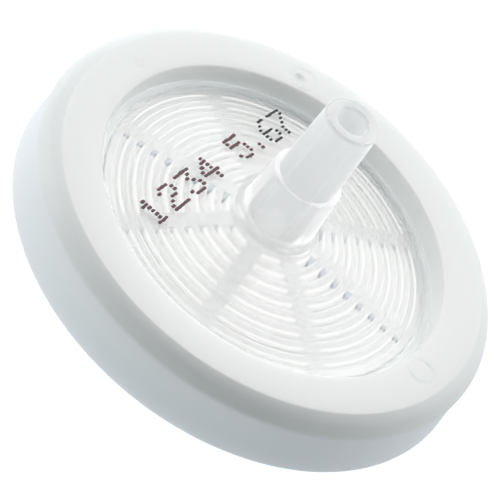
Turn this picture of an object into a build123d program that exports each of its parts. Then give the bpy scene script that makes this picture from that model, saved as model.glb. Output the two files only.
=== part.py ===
import os
from math import ceil, hypot, radians, tan

from build123d import *

os.makedirs("parts", exist_ok=True)

# A disc filter for a syringe, standing on the open end of its inlet with +Z up its axis.
# Lengths are millimetres and angles are degrees.

# Filter membrane, lying in a pocket of the inlet half and pinched at its rim.
membrane_radius = 12.5
membrane_thickness = 0.24
membrane_gap = 0.05
pinch_width = 0.5

# Both halves: a flat rim sealed outside the membrane, and a wall outside an open chamber.
# The rims meet at the middle of the membrane, nearer to the outlet's face than to the inlet's.
seal_width = 1.64
outlet_rim = 0.74
inlet_rim = 1.9
outlet_wall = 0.4
inlet_wall = 1.5

# Moulded ring that clamps the two rims together.
ring_gap = 0.02
ring_wall = 2.79
ring_height = 5.4
rim_overlap = 1.5
recess_draft = 7.4
shoulder_width = 1.16
shoulder_height = 1.27
shoulder_bulge = 0.12
foot_edge = 0.4

# Outlet side: a shallow cone that rises to the hub. Rings inside it hold the membrane flat,
# and the channels that cross them drain to the bore.
cone_angle = 8.3
channel_count = 8
channel_turn = 2
channel_width = 1.2
rib_width = 0.42
rib_pitch = 1.08
rib_first_radius = 3.6
hub_base_radius = 2.77
hub_top_radius = 2.53
hub_height = 4.55
hub_root = 0.3
tip_length = 6.05
tip_radius = 1.98
tip_edge = 0.2
outlet_bore_radius = 1.17

# Inlet side: a flat disc with radial ribs inside it, and a socket with two lugs.
inlet_length = 8.6
inlet_rib_count = 8
inlet_rib_width = 0.6
inlet_rib_root = 0.4
feed_well_radius = 2.6
stem_radius = 3.4
stem_root = 0.3
socket_mouth_radius = 2.15
socket_depth = 8.0
feed_hole_radius = 1.0
lug_count = 2
lug_radius = 3.9
lug_width = 2.7
lug_low_height = 1.0
lug_high_height = 1.6

# Both luer cones open or close by six parts in a hundred of their length.
luer_taper = 0.06

# Radii that follow, from the membrane outwards.
chamber_radius = membrane_radius - pinch_width
seat_radius = membrane_radius + membrane_gap
rim_radius = seat_radius + seal_width
ring_bore_radius = rim_radius + ring_gap
ring_radius = ring_bore_radius + ring_wall
ring_face_radius = ring_radius - shoulder_width

# The ring stands proud of both discs, so it leaves a recess on either side.
recess_radius = rim_radius - rim_overlap
recess_depth = (ring_height - outlet_rim - inlet_rim) / 2
recess_mouth_radius = recess_radius + recess_depth * tan(radians(recess_draft))
cone_rise = tan(radians(cone_angle))

# Heights that follow, from the open end of the inlet.
middle_height = inlet_length + recess_depth + inlet_rim
ring_top = inlet_length + ring_height
seat_depth = membrane_thickness / 2


def disc_face(radius):
    """Distance from the membrane's middle to the outlet half's outer face, at this radius."""
    return outlet_rim + (recess_radius - radius) * cone_rise


def chamber_face(radius):
    """Distance from the membrane's middle to the outlet half's inner face, at this radius."""
    return disc_face(radius) - outlet_wall


# The two halves lie on either side of the membrane, so each works in distances from it.
middle = Plane.XZ.shift_origin((0, 0, middle_height))

# Membrane
with BuildPart() as membrane:
    with BuildSketch(Plane.XY.offset(middle_height - seat_depth)):
        Circle(membrane_radius)
    extrude(amount=membrane_thickness)
membrane.part.label = "membrane"
export_step(membrane.part, "parts/membrane.step")

# Outlet half
hub_z = outlet_rim + recess_depth + hub_height
tip_z = hub_z + tip_length
tip_base_radius = tip_radius + tip_length * luer_taper / 2
groove_starts = [0.0]
groove_ends = []
rib_count = ceil((chamber_radius - rib_width - rib_first_radius) / rib_pitch)
for rib in range(rib_count):
    rib_radius = rib_first_radius + rib * rib_pitch
    groove_ends.append(rib_radius - rib_width / 2)
    groove_starts.append(rib_radius + rib_width / 2)
groove_ends.append(chamber_radius)

with BuildPart() as outlet_housing:
    with BuildSketch(middle):
        with BuildLine():
            Polyline(
                (0, seat_depth),
                (rim_radius, seat_depth),
                (rim_radius, outlet_rim),
                (recess_radius, outlet_rim),
                (hub_base_radius + hub_root, disc_face(hub_base_radius + hub_root)),
                (hub_base_radius, disc_face(hub_base_radius) + hub_root),
                (hub_top_radius, hub_z),
                (tip_base_radius, hub_z),
                (tip_radius, tip_z - tip_edge),
                (tip_radius - tip_edge, tip_z),
                (0, tip_z),
                close=True,
            )
        make_face()
    revolve(axis=Axis.Z)
    # ring grooves, each as deep as the cone above its outer wall allows
    with BuildSketch(middle):
        for start, end in zip(groove_starts, groove_ends):
            with BuildLine():
                Polyline(
                    (start, seat_depth),
                    (end, seat_depth),
                    (end, chamber_face(end)),
                    (start, chamber_face(end)),
                    close=True,
                )
            make_face()
    revolve(axis=Axis.Z, mode=Mode.SUBTRACT)
    # drain channels that cross the rings
    for channel in range(channel_count):
        turn = channel_turn + 360 / channel_count * channel
        with BuildSketch(middle.rotated((0, 0, turn))):
            with BuildLine():
                Polyline(
                    (0, seat_depth),
                    (chamber_radius, seat_depth),
                    (chamber_radius, chamber_face(chamber_radius)),
                    (0, chamber_face(0)),
                    close=True,
                )
            make_face()
        extrude(amount=channel_width / 2, both=True, mode=Mode.SUBTRACT)
    with BuildSketch(Plane.XY.offset(middle_height)):
        Circle(outlet_bore_radius)
    extrude(amount=tip_z, mode=Mode.SUBTRACT)
outlet_housing.part.label = "outlet_housing"
export_step(outlet_housing.part, "parts/outlet_housing.step")

# Inlet half
chamber_floor = inlet_rim - inlet_wall
with BuildPart() as inlet_housing:
    with BuildSketch(middle):
        with BuildLine():
            Polyline(
                (0, -chamber_floor),
                (chamber_radius, -chamber_floor),
                (chamber_radius, -seat_depth),
                (seat_radius, -seat_depth),
                (seat_radius, seat_depth),
                (rim_radius, seat_depth),
                (rim_radius, -inlet_rim),
                (stem_radius + stem_root, -inlet_rim),
                (stem_radius, -inlet_rim - stem_root),
                (stem_radius, -middle_height),
                (0, -middle_height),
                close=True,
            )
        make_face()
    revolve(axis=Axis.Z)
    # ribs that stand in the feed chamber
    for rib in range(inlet_rib_count):
        turn = 360 / inlet_rib_count * rib
        with BuildSketch(middle.rotated((0, 0, turn))):
            with BuildLine():
                Polyline(
                    (feed_well_radius, -seat_depth),
                    (chamber_radius + inlet_rib_root, -seat_depth),
                    (chamber_radius + inlet_rib_root, -chamber_floor - inlet_rib_root),
                    (feed_well_radius, -chamber_floor - inlet_rib_root),
                    close=True,
                )
            make_face()
        extrude(amount=inlet_rib_width / 2, both=True)
    # lugs, each climbing like a short stretch of thread
    for lug in range(lug_count):
        facing = Plane.YZ.rotated((0, 0, 360 / lug_count * lug))
        with BuildSketch(facing):
            with BuildLine():
                Polyline(
                    (-lug_width / 2, 0),
                    (lug_width / 2, 0),
                    (lug_width / 2, lug_high_height),
                    (-lug_width / 2, lug_low_height),
                    close=True,
                )
            make_face()
        extrude(amount=lug_radius)
    with BuildSketch():
        Circle(lug_radius + lug_width)
        Circle(lug_radius, mode=Mode.SUBTRACT)
    extrude(amount=lug_high_height, mode=Mode.SUBTRACT)
    # luer socket, and the hole that feeds the chamber
    with BuildSketch(Plane.XZ):
        with BuildLine():
            Polyline(
                (0, 0),
                (socket_mouth_radius, 0),
                (socket_mouth_radius - socket_depth * luer_taper / 2, socket_depth),
                (0, socket_depth),
                close=True,
            )
        make_face()
    revolve(axis=Axis.Z, mode=Mode.SUBTRACT)
    with BuildSketch():
        Circle(feed_hole_radius)
    extrude(amount=middle_height - seat_depth, mode=Mode.SUBTRACT)
inlet_housing.part.label = "inlet_housing"
export_step(inlet_housing.part, "parts/inlet_housing.step")

# Clamping ring, moulded round the rims of both halves
shoulder_slant = hypot(shoulder_width, shoulder_height)
crown_radius = ring_face_radius + shoulder_width / 2 + shoulder_bulge * shoulder_height / shoulder_slant
crown_z = ring_top - shoulder_height / 2 + shoulder_bulge * shoulder_width / shoulder_slant
with BuildPart() as overmould_ring:
    with BuildSketch(Plane.XZ):
        with BuildLine():
            Polyline(
                (recess_mouth_radius, ring_top),
                (ring_face_radius, ring_top),
                (crown_radius, crown_z),
                (ring_radius, ring_top - shoulder_height),
                (ring_radius, inlet_length + foot_edge),
                (ring_radius - foot_edge, inlet_length),
                (recess_mouth_radius, inlet_length),
                (recess_radius, inlet_length + recess_depth),
                (ring_bore_radius, inlet_length + recess_depth),
                (ring_bore_radius, ring_top - recess_depth),
                (recess_radius, ring_top - recess_depth),
                close=True,
            )
        make_face()
    revolve(axis=Axis.Z)
overmould_ring.part.label = "overmould_ring"
export_step(overmould_ring.part, "parts/overmould_ring.step")
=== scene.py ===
from math import asin, ceil, cos, pi, radians, sin, tan

import bmesh
import bpy
import numpy as np
from mathutils import Matrix, Vector


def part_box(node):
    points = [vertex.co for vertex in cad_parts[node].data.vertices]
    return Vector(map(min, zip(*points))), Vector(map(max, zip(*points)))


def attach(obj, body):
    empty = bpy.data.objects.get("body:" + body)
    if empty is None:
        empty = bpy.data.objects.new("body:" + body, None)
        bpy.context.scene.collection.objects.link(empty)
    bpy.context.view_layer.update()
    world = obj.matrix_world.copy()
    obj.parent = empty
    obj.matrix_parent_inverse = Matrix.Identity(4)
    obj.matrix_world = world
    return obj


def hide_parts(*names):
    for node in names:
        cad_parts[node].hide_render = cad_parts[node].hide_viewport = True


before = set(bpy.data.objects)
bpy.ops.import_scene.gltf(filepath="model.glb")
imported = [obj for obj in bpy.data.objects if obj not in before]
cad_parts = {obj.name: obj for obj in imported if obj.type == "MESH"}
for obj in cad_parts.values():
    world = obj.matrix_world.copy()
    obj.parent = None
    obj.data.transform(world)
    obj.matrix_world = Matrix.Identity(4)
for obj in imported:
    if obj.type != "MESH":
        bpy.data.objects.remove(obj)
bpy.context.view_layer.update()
mm = 0.001
print("frame loaded:", sorted(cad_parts))

# what several pieces hang on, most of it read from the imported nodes
ringLow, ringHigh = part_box("overmould_ring")
sheetLow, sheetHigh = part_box("membrane")
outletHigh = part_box("outlet_housing")[1]
ringMiddle = (ringLow.z + ringHigh.z) / 2
recessRadius = 12.69 * mm


def makeOutline(corners, arcStep):
    # corners are (radius from the axis, height, rounding); an arc takes the place of a rounded one
    mostOfSide = 0.48        # so that two arcs never meet on the side between them
    line = []
    for i, (r, z, rounding) in enumerate(corners):
        here = Vector((r, z))
        if rounding <= 0:
            line.append(here)
            continue
        before = Vector(corners[i - 1][:2]) - here
        after = Vector(corners[(i + 1) % len(corners)][:2]) - here
        half = before.angle(after) / 2
        reach = min(rounding / tan(half), mostOfSide * before.length, mostOfSide * after.length)
        size = reach * tan(half)
        before.normalize()
        after.normalize()
        centre = here + (before + after).normalized() * (size / sin(half))
        start = here + before * reach - centre
        end = here + after * reach - centre
        turn = pi - 2 * half
        steps = max(2, ceil(turn / arcStep))
        for k in range(steps + 1):
            share = k / steps
            swing = start * sin((1 - share) * turn) + end * sin(share * turn)
            line.append(centre + swing / sin(turn))
    return line


def addPoints(line, i, count):
    # cuts the straight run after point i into even parts, so that it can carry marks
    a, b = line[i], line[i + 1]
    return line[:i + 1] + [a.lerp(b, k / count) for k in range(1, count)] + line[i + 1:]


def spin(line, angles):
    rows = np.array([(p.x, p.y) for p in line])
    points = np.empty((len(rows), len(angles), 3))
    points[..., 0] = rows[:, :1] * np.cos(angles)
    points[..., 1] = rows[:, :1] * np.sin(angles)
    points[..., 2] = rows[:, 1:]
    return points


def addObject(name, data):
    thing = bpy.data.objects.new(name, data)
    bpy.context.scene.collection.objects.link(thing)
    return thing


def skin(name, points, marks=None, sharpAngle=38):
    # points[row][column] closes on itself both ways, so the skin has no border;
    # marks are named values from 0 to 1 on the same grid, for the finishes
    rows, columns = points.shape[:2]
    index = np.arange(rows * columns).reshape(rows, columns)
    right = np.roll(index, -1, axis=1)
    up = np.roll(index, -1, axis=0)
    faces = np.stack([index, right, np.roll(up, -1, axis=1), up], axis=-1).reshape(-1, 4)
    mesh = bpy.data.meshes.new(name)
    mesh.from_pydata(points.reshape(-1, 3).tolist(), [], faces.tolist())
    for mark, values in (marks or {}).items():
        mesh.attributes.new(mark, "FLOAT", "POINT").data.foreach_set("value", values.ravel())
    edit = bmesh.new()
    edit.from_mesh(mesh)
    bmesh.ops.remove_doubles(edit, verts=edit.verts, dist=1e-7)
    edit.to_mesh(mesh)
    edit.free()
    mesh.shade_smooth()
    mesh.set_sharp_from_angle(angle=radians(sharpAngle))
    return addObject(name, mesh)


# the ring: one milky moulding with a shallow waist, round shoulders and three pin marks
ringSizes = {
    "radius": ringHigh.x,
    "faceRadius": 15.84 * mm,
    "faceRounding": 0.2 * mm,
    "shoulderHeight": 1.27 * mm,
    "shoulderBulge": 0.12 * mm,
    "shoulderRounding": 0.5 * mm,
    "crownRounding": 1.8 * mm,
    "waistDepth": 0.1 * mm,
    "waistRounding": 30 * mm,
    "footEdge": 0.4 * mm,
    "footRounding": 0.35 * mm,
    "recessRadius": recessRadius,
    "recessMouthRadius": recessRadius + 0.18 * mm,
    "recessDepth": 1.38 * mm,
    "boreRadius": outletHigh.x + 0.02 * mm,   # a little clear of the rims
    "lipRounding": 0.14 * mm,
    "arcStep": 6,                       # degrees, as the next three are
    "columnStep": 1.25,
    "markStep": 0.32,
    "lastStep": 0.3,
    "faceRows": 30,
    "marks": ((108, 0.95 * mm), (348, 0.95 * mm), (164, 0.3 * mm)),   # angle and radius
    "markDistance": 14.1 * mm,
    "markWidth": 0.07 * mm,
    "markDepth": 0.06 * mm,
    "markReach": 1.25,                  # times the largest mark, to the last close column
    "gateRadius": 0.55 * mm,            # a dimple inside the first mark
    "gateDepth": 0.2 * mm,
    "gateCurve": 0.7,
    "gateOffset": (-0.28 * mm, -0.3 * mm),
}


def ringAngles(s):
    # columns stand closer together where a pin left its mark
    centres = [radians(angle) for angle, size in s["marks"]]
    reach = s["markReach"] * max(size for angle, size in s["marks"]) / s["markDistance"]
    angles = []
    angle = 0.0
    while angle < 2 * pi - radians(s["lastStep"]):
        angles.append(angle)
        near = min(abs((angle - c + pi) % (2 * pi) - pi) for c in centres)
        angle += radians(s["markStep"] if near < reach else s["columnStep"])
    return np.array(angles)


def makeRing(s):
    low, high = ringLow.z, ringHigh.z
    shoulderWidth = s["radius"] - s["faceRadius"]
    slant = Vector((shoulderWidth, s["shoulderHeight"])).length
    crown = (
        s["faceRadius"] + shoulderWidth / 2 + s["shoulderBulge"] * s["shoulderHeight"] / slant,
        high - s["shoulderHeight"] / 2 + s["shoulderBulge"] * shoulderWidth / slant,
    )
    shoulder = high - s["shoulderHeight"]
    foot = low + s["footEdge"]
    line = makeOutline([
        (s["recessMouthRadius"], low, s["lipRounding"]),
        (s["radius"] - s["footEdge"], low, s["footRounding"]),
        (s["radius"], foot, s["footRounding"]),
        (s["radius"] - s["waistDepth"], (shoulder + foot) / 2, s["waistRounding"]),
        (s["radius"], shoulder, s["shoulderRounding"]),
        (crown[0], crown[1], s["crownRounding"]),
        (s["faceRadius"], high, s["faceRounding"]),
        (s["recessMouthRadius"], high, s["lipRounding"]),
        (s["recessRadius"], high - s["recessDepth"], 0),
        (s["boreRadius"], high - s["recessDepth"], 0),
        (s["boreRadius"], low + s["recessDepth"], 0),
        (s["recessRadius"], low + s["recessDepth"], 0),
    ], radians(s["arcStep"]))
    face = next(i for i, p in enumerate(line) if abs(p.y - high) < 1e-9)
    points = spin(addPoints(line, face, s["faceRows"]), ringAngles(s))

    onFace = np.abs(points[..., 2] - high) < 1e-9
    for k, (angle, size) in enumerate(s["marks"]):
        dx = points[..., 0] - s["markDistance"] * cos(radians(angle))
        dy = points[..., 1] - s["markDistance"] * sin(radians(angle))
        away = np.hypot(dx, dy) - size
        sink = s["markDepth"] * np.exp(-(away / s["markWidth"]) ** 2)
        if k == 0:
            gate = np.hypot(dx - s["gateOffset"][0], dy - s["gateOffset"][1]) / s["gateRadius"]
            sink += s["gateDepth"] * np.clip(1 - gate ** 2, 0, 1) ** s["gateCurve"]
        points[..., 2] -= np.where(onFace, sink, 0)
    return skin("clamping_ring", points)


ring = makeRing(ringSizes)
print("ring made")


# the outlet half: ribs and channels underneath, a shallow cone, a hub and a nozzle on top
outletSizes = {
    "boreRadius": 1.17 * mm,
    "boreRounding": 0.1 * mm,
    "rimRadius": outletHigh.x,
    "rimTop": 0.62 * mm,                # above the membrane
    "rimGap": 0.01 * mm,                # under the ring's lip
    "rimRounding": 0.1 * mm,
    "rimRows": 12,
    "seatGap": 0.006 * mm,
    "coneAngle": 8.3,
    "recessRadius": recessRadius,
    "wall": 0.4 * mm,
    "chamberRadius": 12.0 * mm,
    "wellRadius": 2.2 * mm,
    "channels": 8,
    "channelTurn": 2,
    "channelWidth": 1.2 * mm,
    "channelSpread": 2.6 * mm,          # nearer the bore than this, the columns keep their angles
    "columnsBetween": 10,
    "ribs": 8,
    "ribWidth": 0.42 * mm,
    "ribPitch": 1.08 * mm,
    "ribFirstRadius": 3.6 * mm,
    "edgeSoftness": 0.045 * mm,
    # widths of the painted highlight beside each rib's root and of the painted dark corners under
    # its edge
    "rootHighlightWidth": 0.04 * mm,
    "cornerLength": 0.15 * mm,
    "cornerShadeWidth": 0.08 * mm,
    "cornerShadeFocus": 8,
    "shadeAngle": 108,                  # ribs' ends and corners that face this way get a painted shade
    "hubBaseRadius": 2.77 * mm,
    "hubTopRadius": 2.53 * mm,
    "hubRoot": 0.3 * mm,
    "hubRounding": 0.12 * mm,
    "stepRounding": 0.06 * mm,
    "tipLength": 6.05 * mm,
    "tipRadius": 1.98 * mm,
    "tipTaper": 0.06,                   # of its length, across the whole nozzle
    "tipRounding": 0.2 * mm,
    "arcStep": 15,
}
softSteps = ((-1, 0.0), (-0.55, 0.12), (0, 0.5), (0.55, 0.88), (1, 1.0))   # shift, share climbed
# the frosted inner side, then where the ribs carry a painted glow, highlight and shade
ribMarks = ("inner", "ribWallGlow", "ribRootHighlight", "ribEndShade", "ribCornerShade")


def coneFace(r):
    # height of the disc's outer face
    s = outletSizes
    return sheetHigh.z + s["rimTop"] + (s["recessRadius"] - r) * tan(radians(s["coneAngle"]))


def undersideRows(s):
    # from the bore outwards: radius, how far the rib has come down, and whether the row is on the
    # painted highlight beside the rib's root, or under the rib's edge, where its corner is painted
    # dark
    soft = s["edgeSoftness"]
    half = s["ribWidth"] / 2
    root = half + soft + s["rootHighlightWidth"]
    edge = half - soft - s["cornerShadeWidth"]
    side = [(root + soft / 2, 0, 0, 0), (root, 0, 1, 0)]
    side += [(half - shift * soft, share, share < 0.3, share > 0.4) for shift, share in softSteps]
    side += [(edge, 1, 0, 1), (edge - soft / 2, 1, 0, 0)]
    rows = [(s["boreRadius"], 0, 0, 0), (s["wellRadius"], 0, 0, 0)]
    for rib in range(s["ribs"]):
        middle = s["ribFirstRadius"] + rib * s["ribPitch"]
        rows += [(middle - away, *rest) for away, *rest in side]
        rows += [(middle + away, *rest) for away, *rest in reversed(side)]
    return rows


def outletLine(s, roof):
    # from the seat round the rim, cone, hub and nozzle, and down the bore
    rimTop = coneFace(s["recessRadius"]) - s["rimGap"]
    root = s["hubBaseRadius"] + s["hubRoot"]
    tip = outletHigh.z
    hubTop = tip - s["tipLength"]
    tipBase = s["tipRadius"] + s["tipLength"] * s["tipTaper"] / 2
    line = makeOutline([
        (s["rimRadius"], sheetHigh.z + s["seatGap"], s["rimRounding"]),
        (s["rimRadius"], rimTop, s["rimRounding"]),
        (s["recessRadius"], rimTop, 0),
        (root, coneFace(root), s["hubRoot"]),
        (s["hubBaseRadius"], coneFace(s["hubBaseRadius"]) + s["hubRoot"], s["hubRoot"]),
        (s["hubTopRadius"], hubTop, s["hubRounding"]),
        (tipBase, hubTop, s["stepRounding"]),
        (s["tipRadius"], tip, s["tipRounding"]),
        (s["boreRadius"], tip, s["boreRounding"]),
        (s["boreRadius"], roof(s["boreRadius"]), 0),
    ], radians(s["arcStep"]))
    line.pop()        # the underside starts there
    cone = next(i for i, p in enumerate(line) if abs(p.x - s["recessRadius"]) < 1e-7)
    return addPoints(line, cone, s["rimRows"])


def makeOutlet(s):
    seat = sheetHigh.z + s["seatGap"]
    soft = s["edgeSoftness"]
    corner = s["cornerLength"]
    half = s["channelWidth"] / 2
    turned = radians(s["channelTurn"])
    sector = 2 * pi / s["channels"]

    def roof(r):
        return coneFace(r) - s["wall"]

    # columns: soft steps at both walls of a channel, and even angles between the channels
    beside = [(0, 0)] + [(half + shift * soft, share) for shift, share in softSteps]
    beside += [(half + corner, 1.0), (half + corner + soft, 1.0)]

    def columnsAt(r):
        near = [(asin(t / max(r, s["channelSpread"])), share) for t, share in beside]
        last = near[-1][0]
        count = s["columnsBetween"]
        far = [(last + (sector / 2 - last) * k / count, 1.0) for k in range(1, count)]
        side = near + far
        back = [(sector - angle, share) for angle, share in side[:0:-1]]
        whole = side + [(sector / 2, 1.0)] + back
        return np.array([
            (turned + angle + sector * k, share)
            for k in range(s["channels"])
            for angle, share in whole
        ]).T

    points = []
    marks = {mark: [] for mark in ribMarks}

    def addRow(r, z, angles, rowMarks):
        points.append(np.stack([r * np.cos(angles), r * np.sin(angles), z], axis=-1))
        for mark in ribMarks:
            marks[mark].append(rowMarks.get(mark, np.zeros_like(angles)))

    # share is how much of the rib is left beside a channel, and down how far it has come
    for r, down, root, edge in undersideRows(s):
        angles, share = columnsAt(r)
        drop = down * share
        channel = turned + np.round((angles - turned) / sector) * sector
        side = np.sign(angles - channel)
        away = np.abs(np.sin(angles - channel)) * max(r, s["channelSpread"]) - half
        # how far an end faces shadeAngle, which sets its painted shade
        facing = np.clip(np.cos(channel - side * pi / 2 - radians(s["shadeAngle"])), 0, 1)
        onWall = (drop > 0.05) & (drop < 0.95)
        onEnd = (share > 0.05) & (share < 0.95) & (down > 0.4)
        onCorner = (away > 0.5 * soft) & (away < corner + 0.1 * soft)
        addRow(r, roof(r) - (roof(r) - seat) * drop, angles, {
            "inner": np.where(onWall, 0.0, 1.0),
            "ribWallGlow": np.where(onWall, 1.0, 0.0),
            "ribRootHighlight": np.where(share > 0.95, float(root), 0.0),
            "ribEndShade": np.where(onEnd, facing, 0.0),
            "ribCornerShade": np.where(onCorner, edge * facing ** s["cornerShadeFocus"], 0.0),
        })
    # the channels stop at the chamber's outermost wall, and from there on nothing is marked
    wall = [(s["chamberRadius"] + (shift - 1) * soft, share) for shift, share in softSteps]
    plain = [(r, roof(r) - (roof(r) - seat) * share) for r, share in wall]
    for r, z in plain + [tuple(p) for p in outletLine(s, roof)]:
        angles = columnsAt(r)[0]
        addRow(r, np.full_like(angles, z), angles, {})
    return skin("outlet_half", np.array(points), {mark: np.array(marks[mark]) for mark in ribMarks})


outlet = makeOutlet(outletSizes)
print("outlet half made")


# the membrane, swollen a little between the ribs that hold it down
sheetSizes = {
    "radius": sheetHigh.x,
    "swell": 0.05 * mm,
    "rows": 160,
    "columns": 180,
}


def makeMembrane(s):
    rib = outletSizes
    radii = np.linspace(0, s["radius"], s["rows"])
    phase = (radii - rib["ribFirstRadius"]) / rib["ribPitch"]
    between = np.abs(phase - np.round(phase)) * rib["ribPitch"] - rib["ribWidth"] / 2
    share = np.clip(between / (rib["ribPitch"] - rib["ribWidth"]) * 2, 0, 1)
    puff = np.where((radii > rib["ribFirstRadius"]) & (radii < rib["chamberRadius"]), share, 0)
    line = [Vector((r, sheetLow.z)) for r in (0, s["radius"])]
    line += [
        Vector((r, sheetHigh.z + s["swell"] * sin(p * pi / 2)))
        for r, p in zip(radii[::-1], puff[::-1])
    ]
    return skin("membrane_disc", spin(line, np.arange(s["columns"]) * 2 * pi / s["columns"]))


membrane = makeMembrane(sheetSizes)
print("membrane made")


# print: plain digits in dashes, as a moving print head leaves them
printSizes = {
    "digits": "1234 5.67",
    "start": (-5.69 * mm, -6.9 * mm),
    "end": (-2.72 * mm, 10.35 * mm),
    "places": (0.62, 2.78, 4.9, 6.95, 0, 10.95, 12.75, 14.75, 16.62),   # millimetres along the line
    "topRow": 6.4,                      # in rows above the line
    "middleColumn": 2,
    "rowPitch": 0.305 * mm,
    "columnPitch": 0.33 * mm,
    "dashLength": 0.4 * mm,
    "dashWidth": 0.25 * mm,
    "dashPoints": 14,
    "dome": ((1.0, 0.001 * mm), (0.85, 0.009 * mm), (0.5, 0.012 * mm)),   # width and lift
    "shake": 0.012 * mm,
    "sizeShake": 0.05,
    "lateFrom": 7,                      # from this glyph on, the dashes are black, finer and lower
    "lateDrop": 0.17 * mm,
    "lateSize": 0.78,
    "seed": 4,
}
digitShapes = {
    "1": "..#.. .##.. ..#.. ..#.. ..#.. ..#.. .###.",
    "2": ".###. #...# ....# ..##. .#... #.... #####",
    "3": "##### ...#. ..#.. ...#. ....# #...# .###.",
    "4": "...#. ..##. .#.#. #..#. ##### ...#. ...#.",
    "5": "##### #.... ####. ....# ....# #...# .###.",
    "6": "..##. .#... #.... ####. #...# #...# .###.",
    "7": "##### ....# ...#. ..#.. .#... .#... .#...",
    ".": "..... ..... ..... ..... ..... ..#.. ..#..",
}


def addDash(edit, s, centre, along, upwards, length, width, ink):
    # a low dome with round ends, lying on the cone
    rim = []
    for k in range(s["dashPoints"]):
        turn = (k + 0.5) * 2 * pi / s["dashPoints"]
        straight = length if cos(turn) > 0 else -length
        rim.append((straight + width * cos(turn), width * sin(turn)))
    rings = []
    for scale, lift in s["dome"]:
        flat = [centre + along * a * scale + upwards * b * scale for a, b in rim]
        rings.append([edit.verts.new((p.x, p.y, coneFace(p.length) + lift)) for p in flat])
    faces = []
    for lower, upper in zip(rings, rings[1:]):
        for k in range(len(rim)):
            n = (k + 1) % len(rim)
            faces.append(edit.faces.new((lower[k], lower[n], upper[n], upper[k])))
    faces += [edit.faces.new(rings[-1]), edit.faces.new(rings[0][::-1])]
    for face in faces:
        face.material_index = ink


def makePrint(s):
    start, end = Vector(s["start"]), Vector(s["end"])
    along = (end - start).normalized()
    upwards = Vector((-along.y, along.x))
    chance = np.random.default_rng(s["seed"])
    edit = bmesh.new()
    for number, (glyph, place) in enumerate(zip(s["digits"], s["places"])):
        if glyph not in digitShapes:
            continue
        late = number >= s["lateFrom"]
        dashes = [
            (row, column)
            for row, cells in enumerate(digitShapes[glyph].split())
            for column, cell in enumerate(cells)
            if cell == "#"
        ]
        for row, column in dashes:
            shake = chance.normal(0, s["shake"], 2)
            size = chance.normal(1, s["sizeShake"])
            x = place * mm + (column - s["middleColumn"]) * s["columnPitch"] + shake[0]
            y = (s["topRow"] - row) * s["rowPitch"] + shake[1] - (s["lateDrop"] if late else 0)
            centre = start + along * x + upwards * y
            width = s["dashWidth"] / 2 * (s["lateSize"] if late else 1.0) * size
            length = s["dashLength"] / 2 * size - width
            addDash(edit, s, centre, along, upwards, length, width, int(late))
    mesh = bpy.data.meshes.new("printed_digits")
    edit.to_mesh(mesh)
    edit.free()
    mesh.shade_smooth()
    return addObject("printed_digits", mesh)


digits = makePrint(printSizes)
print("print made")


def fillSockets(tree, node, sockets):
    # a socket takes a plain value, or a link from the output that it is given
    for name, value in sockets.items():
        if isinstance(value, bpy.types.NodeSocket):
            tree.links.new(value, node.inputs[name])
        else:
            node.inputs[name].default_value = value


def addNode(tree, kind, sockets, **settings):
    node = tree.nodes.new("ShaderNode" + kind)
    for name, value in settings.items():
        setattr(node, name, value)
    fillSockets(tree, node, sockets)
    return node


def addMath(tree, operation, *values):
    return addNode(tree, "Math", dict(enumerate(values)), operation=operation).outputs["Value"]


def newMaterial(name):
    material = bpy.data.materials.new(name)
    material.use_nodes = True
    tree = material.node_tree
    return material, tree, tree.nodes["Principled BSDF"]


def objectPlace(tree):
    return addNode(tree, "TexCoord", {}).outputs["Object"]


def fineGrain(tree, place, s):
    # the faint unevenness of a moulded or pressed surface
    sockets = {"Vector": place, "Scale": 1 / s["grainSize"], "Detail": s["grainDetail"]}
    return addNode(tree, "TexNoise", sockets).outputs["Fac"]


def fineBump(tree, height, s):
    sockets = {"Height": height, "Strength": s["grainStrength"], "Distance": s["grainDepth"]}
    return addNode(tree, "Bump", sockets).outputs["Normal"]


def axisDistance(tree, place):
    flat = addNode(tree, "VectorMath", {0: place, 1: (1, 1, 0)}, operation="MULTIPLY")
    radius = addNode(tree, "VectorMath", {0: flat.outputs["Vector"]}, operation="LENGTH")
    return radius.outputs["Value"]


# the ring's plastic: milky, with light spreading inside it, and a painted glow where it clamps the
# rims
ringFinish = {
    "colour": (0.86, 0.885, 0.875, 1),
    "roughness": 0.42,
    "ior": 1.49,
    "cloud": 0.8,
    "depth": 2.0 * mm,
    "grainSize": 0.5 * mm,
    "grainDetail": 4,
    "grainStrength": 0.25,
    "grainDepth": 0.01 * mm,
    # strength and place of the painted glow on the faces that clamp the rims
    "paintedRimGlow": 0.22,
    "rimGlowReach": 1.325 * mm,            # above and below the ring's middle
    "rimGlowRadius": 14.3 * mm,
}


def milkyPlastic(s):
    material, tree, shader = newMaterial("milkyPlastic")
    place = objectPlace(tree)
    # a painted glow on the faces that clamp the rims, standing in for light that seeps through the
    # ring
    height = addNode(tree, "SeparateXYZ", {"Vector": place}).outputs["Z"]
    level = addMath(tree, "COMPARE", height, ringMiddle, s["rimGlowReach"])
    near = addMath(tree, "LESS_THAN", axisDistance(tree, place), s["rimGlowRadius"])
    clamping = addMath(tree, "MULTIPLY", near, level)
    fillSockets(tree, shader, {
        "Base Color": s["colour"],
        "Roughness": s["roughness"],
        "IOR": s["ior"],
        "Subsurface Weight": s["cloud"],
        "Subsurface Radius": (1, 1, 1),
        "Subsurface Scale": s["depth"],
        "Normal": fineBump(tree, fineGrain(tree, place, s), s),
        "Emission Color": s["colour"],
        "Emission Strength": addMath(tree, "MULTIPLY", clamping, s["paintedRimGlow"]),
    })
    return material
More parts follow.
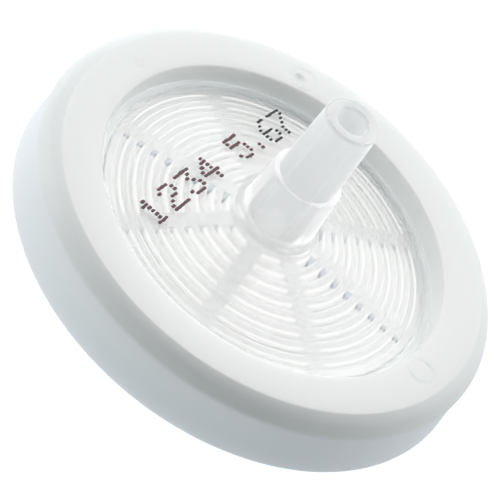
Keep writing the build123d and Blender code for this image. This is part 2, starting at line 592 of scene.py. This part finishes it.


# both halves' plastic: clear, with some haze, and frosted on the outlet's inner side, with a
# painted glow by height and painted light and shade on the ribs
clearFinish = {
    "colour": (0.99, 0.995, 1, 1),
    "ior": 1.49,
    "grainSize": 1.2 * mm,
    "grainDetail": 2,
    "grainStrength": 0.3,
    "grainDepth": 0.01 * mm,
    "hubFrom": 13.9 * mm,               # between these heights the disc turns into the hub
    "hubTo": 14.9 * mm,
    "discRoughness": 0.08,
    "hubRoughness": 0.12,
    "discHaze": 0.2,
    "hubHaze": 0.5,
    "discMilk": (0.82, 0.84, 0.845, 1),
    "hubMilk": (0.12, 0.125, 0.13, 1),
    "milkRoughness": 0.3,
    "milkCloud": 0.7,
    "milkDepth": 2.0 * mm,
    "glowColour": (0.97, 0.99, 1, 1),
    "glow": (                           # height and strength of a painted glow, standing in for light caught inside
        (13.9 * mm, 0.1),
        (14.9 * mm, 0.86),
        (18.5 * mm, 0.8),
        (18.6 * mm, 0.74),
        (24.3 * mm, 0.72),
        (24.6 * mm, 0.46),
    ),
    "bandHaze": 0.62,                   # the flat band outside the ribs
    "bandFrom": 12.0 * mm,
    "bandTo": 12.3 * mm,
    "turningPitch": 0.17 * mm,
    "turningDepth": 0.5,
    "frost": 0.7,
    "frostColour": (0.85, 0.865, 0.843, 1),
    # painted glow on the rib walls, painted shade on their ends and corners, painted highlights at
    # their roots
    "wallGlowColour": (0.83, 0.845, 0.823, 1),
    "endShadeShare": 0.95,
    "endShadeColour": (0.5, 0.555, 0.6, 1),
    "cornerShadeShare": 1.0,
    "cornerShadeColour": (0.03, 0.05, 0.08, 1),
    "rootHighlightShare": 0.75,
    "rootHighlightColour": (1.03, 1.035, 1.0, 1),
}


# the painted glow's strength, ramped by height
def glowByHeight(tree, height, stops):
    foot, head = stops[0][0], stops[-1][0]
    level = addNode(tree, "MapRange", {"Value": height, "From Min": foot, "From Max": head})
    glow = addNode(tree, "ValToRGB", {"Fac": level.outputs["Result"]})
    elements = glow.color_ramp.elements
    elements.remove(elements[1])
    for k, (z, strength) in enumerate(stops):
        spot = (z - foot) / (head - foot)
        stop = elements.new(spot) if k else elements[0]
        stop.position = spot
        stop.color = (strength, strength, strength, 1)
    return glow.outputs["Color"]


def clearPlastic(s):
    material, tree, shader = newMaterial("clearPlastic")
    place = objectPlace(tree)
    height = addNode(tree, "SeparateXYZ", {"Vector": place}).outputs["Z"]
    radius = axisDistance(tree, place)

    # the flat band outside the ribs is hazier, and keeps the turned lines of its mould
    band = {"Value": radius, "From Min": s["bandFrom"], "From Max": s["bandTo"]}
    onBand = addNode(tree, "MapRange", band).outputs["Result"]
    waves = addMath(tree, "SINE", addMath(tree, "MULTIPLY", radius, 2 * pi / s["turningPitch"]))
    turned = addMath(tree, "MULTIPLY", waves, s["turningDepth"])
    lines = addMath(tree, "MULTIPLY_ADD", turned, onBand, fineGrain(tree, place, s))
    normal = fineBump(tree, lines, s)

    # a slight haze, heavier in the hub and the nozzle, which are thicker than the disc
    hub = {"Value": height, "From Min": s["hubFrom"], "From Max": s["hubTo"]}
    onHub = addNode(tree, "MapRange", hub, interpolation_type="SMOOTHSTEP").outputs["Result"]

    def fromDiscToHub(low, high):
        return addMath(tree, "MULTIPLY_ADD", onHub, high - low, low)

    haze = fromDiscToHub(s["discHaze"], s["hubHaze"])
    hazy = addMath(tree, "MAXIMUM", haze, addMath(tree, "MULTIPLY", onBand, s["bandHaze"]))
    # sockets 6 and 7 are the two colours, and output 2 is the mixed one
    tint = addNode(tree, "Mix", {0: onHub, 6: s["discMilk"], 7: s["hubMilk"]}, data_type="RGBA")
    fillSockets(tree, shader, {
        "Base Color": s["colour"],
        "Roughness": fromDiscToHub(s["discRoughness"], s["hubRoughness"]),
        "IOR": s["ior"],
        "Transmission Weight": 1,
        "Normal": normal,
    })
    milk = addNode(tree, "BsdfPrincipled", {
        "Base Color": tint.outputs[2],
        "Roughness": s["milkRoughness"],
        "IOR": s["ior"],
        "Subsurface Weight": s["milkCloud"],
        "Subsurface Radius": (1, 1, 1),
        "Subsurface Scale": s["milkDepth"],
        "Normal": normal,
        "Emission Color": s["glowColour"],
        "Emission Strength": glowByHeight(tree, height, s["glow"]),
    })
    cloudy = {"Fac": hazy, 1: shader.outputs["BSDF"], 2: milk.outputs["BSDF"]}
    last = addNode(tree, "MixShader", cloudy).outputs["Shader"]

    # the inner side is frosted, and its ribs carry painted light and shade, which don't change with
    # the light: walls with a painted pale glow, roots with a painted highlight, and, on the side of
    # shadeAngle, ends with a painted dull shade and corners painted dark
    upwards = addNode(tree, "CombineXYZ", {"Z": 1}).outputs["Vector"]
    for mark, share, kind, coat in (
        ("inner", s["frost"], "BsdfDiffuse", {"Color": s["frostColour"], "Normal": upwards}),
        ("ribWallGlow", s["frost"], "Emission", {"Color": s["wallGlowColour"]}),
        ("ribEndShade", s["endShadeShare"], "Emission", {"Color": s["endShadeColour"]}),
        ("ribCornerShade", s["cornerShadeShare"], "Emission", {"Color": s["cornerShadeColour"]}),
        ("ribRootHighlight", s["rootHighlightShare"], "Emission", {"Color": s["rootHighlightColour"]}),
    ):
        marked = addNode(tree, "Attribute", {}, attribute_name=mark).outputs["Fac"]
        over = {
            "Fac": addMath(tree, "MULTIPLY", marked, share),
            1: last,
            2: addNode(tree, kind, coat).outputs[0],
        }
        last = addNode(tree, "MixShader", over).outputs["Shader"]

    # light on its way to the surfaces below passes straight through
    ray = addNode(tree, "LightPath", {}).outputs
    passing = addMath(tree, "MAXIMUM", ray["Is Shadow Ray"], ray["Is Diffuse Ray"])
    through = addNode(tree, "BsdfTransparent", {}).outputs["BSDF"]
    whole = addNode(tree, "MixShader", {"Fac": passing, 1: last, 2: through})
    fillSockets(tree, tree.nodes["Material Output"], {"Surface": whole.outputs["Shader"]})
    return material


# the membrane: white and matt, and light spreads a little way inside it
sheetFinish = {
    "colour": (0.82, 0.83, 0.812, 1),
    "roughness": 0.85,
    "gloss": 0.1,
    "depth": 0.2 * mm,
    "grainSize": 0.12 * mm,
    "grainDetail": 6,
    "grainStrength": 0.5,
    "grainDepth": 0.01 * mm,
}


def filterSheet(s):
    material, tree, shader = newMaterial("filterSheet")
    place = objectPlace(tree)
    fillSockets(tree, shader, {
        "Base Color": s["colour"],
        "Roughness": s["roughness"],
        "Specular IOR Level": s["gloss"],
        "Subsurface Weight": 1,
        "Subsurface Radius": (1, 1, 1),
        "Subsurface Scale": s["depth"],
        "Normal": fineBump(tree, fineGrain(tree, place, s), s),
    })
    return material


# the two inks of the print
inkFinish = {
    "brownInk": (0.13, 0.06, 0.065, 1),
    "blackInk": (0.022, 0.02, 0.024, 1),
    "roughness": 0.55,
    "grainSize": 0.08 * mm,
    "grainDetail": 4,
    "grainStrength": 0.4,
    "grainDepth": 0.004 * mm,
}


def printInk(name, s):
    material, tree, shader = newMaterial(name)
    place = objectPlace(tree)
    fillSockets(tree, shader, {
        "Base Color": s[name],
        "Roughness": s["roughness"],
        "Normal": fineBump(tree, fineGrain(tree, place, s), s),
    })
    return material


clear = clearPlastic(clearFinish)
ring.data.materials.append(milkyPlastic(ringFinish))
outlet.data.materials.append(clear)
membrane.data.materials.append(filterSheet(sheetFinish))
for ink in ("brownInk", "blackInk"):
    digits.data.materials.append(printInk(ink, inkFinish))
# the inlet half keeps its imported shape
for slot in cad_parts["inlet_housing"].material_slots:
    slot.material = clear
print("finishes made")

for piece, node, slot in (
    (ring, "overmould_ring", "white_ring"),
    (outlet, "outlet_housing", "clear_housing"),
    (membrane, "membrane", "membrane_sheet"),
):
    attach(piece, "root")
    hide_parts(node)
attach(digits, "root")


# floor, lamps and camera
stageSizes = {
    "floorRadius": 1.5,
    "floorGap": 0.005 * mm,             # keeps the floor out of the inlet's end face
    "floorBase": (0.06, 0.062, 0.064, 1),
    "floorRoughness": 0.9,
    "floorColour": (0.91, 0.965, 1.03, 1),
    "floorGlows": ((20, 0.605), (110, 0.349), (200, 0.747)),   # azimuth and strength
    "floorReach": 40 * mm,
    "floorWhite": 1.1,
    "worldColour": (0.95, 0.975, 1, 1),
    "worldWhite": 1.1,
    "worldShine": 0.9,
    "worldFill": 0.01,
    "lampDistance": 0.5,
    "lampSize": 0.3,
    "lamps": (                          # name, azimuth, elevation, power
        ("backRight", 45, 42, 1.09),
        ("back", 90, 42, 0.52),
        ("backLeft", 135, 42, 1.02),
        ("lowRight", 45, 18, 0.36),
        ("lowLeft", 180, 18, 0.7),
        ("lowFrontLeft", 225, 18, 0.2),
        ("lowFront", 270, 18, 0.26),
    ),
}
cameraSizes = {
    "aim": (-0.034 * mm, -1.715 * mm, 11.97 * mm),
    "elevation": 40.22,
    "roll": 38.46,
    "distance": 402.94 * mm,
    "nearest": 10 * mm,
    "lens": 438.24,
    "sensor": 36,
}


def makeFloor(s):
    mesh = bpy.data.meshes.new("floor")
    edit = bmesh.new()
    bmesh.ops.create_circle(edit, cap_ends=True, radius=s["floorRadius"], segments=96)
    edit.to_mesh(mesh)
    edit.free()
    floor = addObject("floor", mesh)
    floor.location.z = -s["floorGap"]
    material, tree, shader = newMaterial("paleFloor")
    # it lights the piece unevenly, and looks evenly white to the camera
    place = objectPlace(tree)
    glows = []
    for azimuth, strength in s["floorGlows"]:
        facing = (cos(radians(azimuth)), sin(radians(azimuth)), 0)
        towards = addNode(tree, "VectorMath", {0: place, 1: facing}, operation="DOT_PRODUCT")
        slope = addNode(tree, "MapRange", {
            "Value": towards.outputs["Value"],
            "From Min": -s["floorReach"],
            "From Max": s["floorReach"],
            "To Max": strength,
        }, interpolation_type="SMOOTHSTEP")
        glows.append(slope.outputs["Result"])
    total = addMath(tree, "ADD", addMath(tree, "ADD", glows[0], glows[1]), glows[2])
    seen = addNode(tree, "LightPath", {}).outputs["Is Camera Ray"]
    choice = addNode(tree, "Mix", {"Factor": seen, "A": total, "B": s["floorWhite"]})
    fillSockets(tree, shader, {
        "Base Color": s["floorBase"],
        "Roughness": s["floorRoughness"],
        "Specular IOR Level": 0,
        "Emission Color": s["floorColour"],
        "Emission Strength": choice.outputs["Result"],
    })
    mesh.materials.append(material)


def makeWorld(s):
    world = bpy.data.worlds.new("studio")
    bpy.context.scene.world = world
    world.use_nodes = True
    tree = world.node_tree
    # faint as a light, and bright to the camera and through the clear plastic
    ray = addNode(tree, "LightPath", {}).outputs
    lighting = addNode(tree, "Mix", {
        "Factor": ray["Is Transmission Ray"],
        "A": s["worldFill"],
        "B": s["worldShine"],
    })
    strength = addNode(tree, "Mix", {
        "Factor": ray["Is Camera Ray"],
        "A": lighting.outputs["Result"],
        "B": s["worldWhite"],
    })
    fillSockets(tree, tree.nodes["Background"], {
        "Color": s["worldColour"],
        "Strength": strength.outputs["Result"],
    })


def addLamp(s, name, azimuth, elevation, power):
    a, e = radians(azimuth), radians(elevation)
    towards = Vector((cos(e) * cos(a), cos(e) * sin(a), sin(e)))
    data = bpy.data.lights.new(name, "AREA")
    data.shape = "DISK"
    data.size = s["lampSize"]
    data.energy = power
    lamp = addObject(name, data)
    lamp.location = Vector((0, 0, ringMiddle)) + towards * s["lampDistance"]
    lamp.rotation_mode = "QUATERNION"
    lamp.rotation_quaternion = towards.to_track_quat("Z", "Y")


def makeCamera(s):
    camera = addObject("camera", bpy.data.cameras.new("camera"))
    camera.data.lens = s["lens"]
    camera.data.sensor_width = s["sensor"]
    camera.data.clip_start = s["nearest"]
    camera.matrix_world = (
        Matrix.Translation(s["aim"])
        @ Matrix.Rotation(radians(90 - s["elevation"]), 4, "X")
        @ Matrix.Rotation(radians(s["roll"]), 4, "Z")
        @ Matrix.Translation((0, 0, s["distance"]))
    )
    bpy.context.scene.camera = camera


makeFloor(stageSizes)
for lamp in stageSizes["lamps"]:
    addLamp(stageSizes, *lamp)
makeWorld(stageSizes)
makeCamera(cameraSizes)

# enough bounces for light to cross the clear walls one behind another
bpy.context.scene.cycles.transparent_max_bounces = 32
bpy.context.scene.cycles.transmission_bounces = 16
bpy.context.scene.cycles.max_bounces = 20
bpy.context.scene.view_settings.view_transform = "Standard"
print("stage made")
